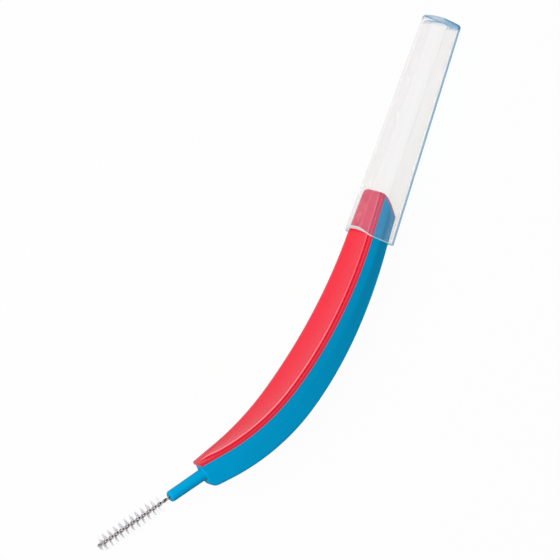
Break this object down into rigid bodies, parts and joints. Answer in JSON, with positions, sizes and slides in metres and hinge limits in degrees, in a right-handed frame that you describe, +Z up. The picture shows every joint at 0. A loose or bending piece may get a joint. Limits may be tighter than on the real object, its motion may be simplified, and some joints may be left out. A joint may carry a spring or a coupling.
{
  "type": "interdental brush",
  "caption": "Curved two-material handle with a twisted-wire bristle brush at one end and a clear push-on cap on the other.",
  "frame": {"origin": "on the surface that the part lies on, under the middle of its box", "axes": "+X along the cap to its closed end, +Y to the side that the red face looks to, +Z up through the part's width"},
  "size_m": [0.0888, 0.0306, 0.0066],
  "materials": {
    "core": "satin blue plastic",
    "grip": "soft matt red elastomer",
    "wire": "twisted steel wire",
    "bristle": "translucent white filament",
    "clear": "clear plastic, faintly frosted"
  },
  "bodies": {
    "handle": {"handle_core": "core", "grip_pad": "grip", "wire": "wire", "bristles": "bristle"},
    "cap": {"cap": "clear"}
  },
  "joints": [
    {"name": "cap_pull", "type": "slide", "parent": "handle", "child": "cap", "axis": [1, 0, 0], "range_m": [0, 0.012]}
  ]
}
